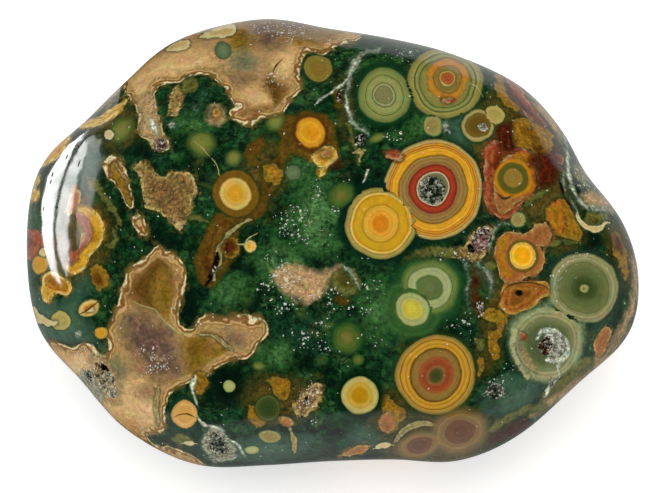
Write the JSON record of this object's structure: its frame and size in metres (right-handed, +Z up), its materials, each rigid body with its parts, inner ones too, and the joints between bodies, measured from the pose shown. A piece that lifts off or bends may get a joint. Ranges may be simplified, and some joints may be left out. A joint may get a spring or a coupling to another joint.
{
  "type": "ocean jasper palm stone",
  "caption": "Polished orbicular jasper pebble with a lumpy rounded outline, for holding in the palm or lying on a table on its small ground flat.",
  "frame": {"origin": "on the table, under the middle of the stone's box", "axes": "+X along the stone's length, +Y across its width to the far side, +Z up from the ground flat on its underside to its crown"},
  "size_m": [0.0764, 0.0594, 0.0334],
  "materials": {
    "polished_jasper": "high polish over deep green chalcedony with ringed yellow, red and green orbs, pinkish-tan agate islands and small open pockets lined with quartz druse"
  },
  "bodies": {
    "root": {"jasper_stone": "polished_jasper"}
  },
  "joints": []
}
